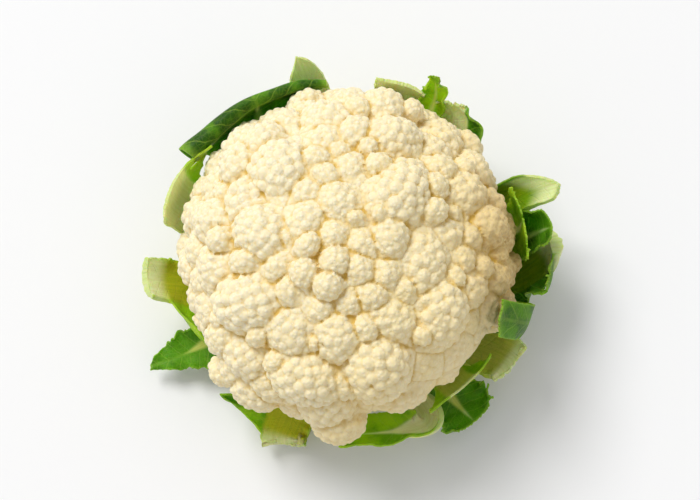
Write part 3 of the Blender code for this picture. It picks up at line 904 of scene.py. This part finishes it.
make_leaf(
    "leaf_left_upper", (
        (160, 20.5, 28, 0, 6, 6, 4, 60), (160, 50, 30, 5, 10, 10, 3.5, 60),
        (160, 73, 34, 45, 11, 11, 3, 50), (160, 87, 46, 80, 12, 20, 2.5, 50),
        (160, 90, 63, 85, 12, 31, 2.5, 42),
    ),
    rib=(12, 14), torn=1, teeth=0.6, ruffle=0.8, tone=0.95, pale=0.9, holes=((-0.72, 0.88, 1.0),),
    seed=13,
)
make_leaf(
    "leaf_back_left", (
        (122, 20.5, 20, 0, 6, 6, 6, 60), (122, 50, 21, 5, 11, 11, 5.5, 60),
        (121, 76, 30, 50, 18, 17, 4, 70), (120, 87, 46, 80, 34, 30, 2, 90),
        (120, 86, 62, 96, 40, 36, 2, 90),
    ),
    rib=(10, -1), torn=0.8, teeth=0.4, ruffle=0.5, tone=0.22, pale=0.4,
    roll=(0.36, 4.9, 1.6, 330), seed=14,
)
make_leaf(
    "leaf_back", (
        (102, 20.5, 12, 0, 6, 6, 8, 28), (102, 50, 13, 5, 11, 11, 7, 28),
        (102, 80, 23, 35, 11, 10, 6, 22), (102, 95, 44, 50, 9.5, 9, 3, 18),
        (104, 103, 62, 42, 3.5, 3.5, 2, 14),
    ),
    cut=(0.86, 1, 0.94), rib=(12, 12), torn=0.6, tone=0.6, pale=1.1, seed=15,
)
make_leaf(
    "leaf_back_right", (
        (75, 20.5, 20, 0, 6, 6, 6, 60), (74, 50, 21, 5, 11, 11, 5.5, 60),
        (73, 75, 30, 45, 12, 12, 5, 60), (73, 89, 46, 72, 13, 12, 4, 60),
        (73, 91, 59, 80, 13, 12, 3, 60),
    ),
    cut=(1, 0.98, 0.96), rib=(12, 16), torn=0.8, ruffle=0.7, tone=0.5, pale=0.9, seed=16,
)
make_leaf(
    "leaf_back_right_small", (
        (62, 20.5, 28, 0, 5, 5, 4, 30), (62, 50, 30, 5, 6, 6, 3.5, 30),
        (62, 74, 35, 50, 6, 6, 2.5, 20), (62, 90, 54, 72, 6.5, 6, 1.5, 12),
        (64, 96, 72, 70, 2.5, 2.5, 1, 12),
    ),
    rib=(6, -1), torn=1.2, teeth=3.5, ruffle=1.8, waves=7, tone=0.85, pale=0.5, seed=17,
)
make_leaf(
    "leaf_back_right_outer", (
        (51, 20.5, 12, 0, 4, 4, 8, 60), (51, 50, 14, 5, 10, 10, 7, 60),
        (52, 76, 27, 45, 10, 10, 5, 60), (54, 89, 47, 70, 8, 20, 3.5, 40),
        (57, 93, 58, 72, 8, 8, 3, 40),
    ),
    cut=(1, 0.93, 1), rib=(12, 8), torn=3.5, ruffle=1.6, waves=6, tone=0.3, pale=1.0, seed=18,
)


# Floor, lights and camera: a plain white table that the head stands on, wide enough to fill every
# view, under a bright even sky and a broad soft light from the back left.
TABLE_RADIUS = 12
SKY, SKY_STRENGTH = (0.99, 0.99, 1, 1), 0.56
LIGHT_FROM, LIGHT_ENERGY, LIGHT_ANGLE = Vector((-0.43, 0.47, 0.77)), 2.05, math.radians(28)

bpy.ops.object.select_all(action="DESELECT")
bpy.ops.mesh.primitive_circle_add(vertices=96, radius=TABLE_RADIUS, fill_type="NGON")
floor = bpy.context.object
floor.name = "table"
finish = new_finish("white table", Base_Color=(0.9, 0.9, 0.9, 1), Roughness=0.6)[0]
floor.data.materials.append(finish)

world = bpy.data.worlds.new("studio")
bpy.context.scene.world = world
world.use_nodes = True
world.node_tree.nodes["Background"].inputs["Color"].default_value = SKY
world.node_tree.nodes["Background"].inputs["Strength"].default_value = SKY_STRENGTH
bpy.context.scene.view_settings.view_transform = "Standard"

AIM = Vector((0.0014, 0.0047, 0.0562))
ELEVATION = math.radians(76)
LENS, DISTANCE = 90, 0.8365
back = Vector((0, -math.cos(ELEVATION), math.sin(ELEVATION)))
bpy.ops.object.camera_add(location=AIM + back * DISTANCE)
camera = bpy.context.object
camera.rotation_euler = back.to_track_quat("Z", "Y").to_euler()
camera.data.lens = LENS
bpy.context.scene.camera = camera

bpy.ops.object.light_add(type="SUN")
key = bpy.context.object
key.data.energy = LIGHT_ENERGY
key.data.angle = LIGHT_ANGLE
key.rotation_euler = LIGHT_FROM.to_track_quat("Z", "Y").to_euler()
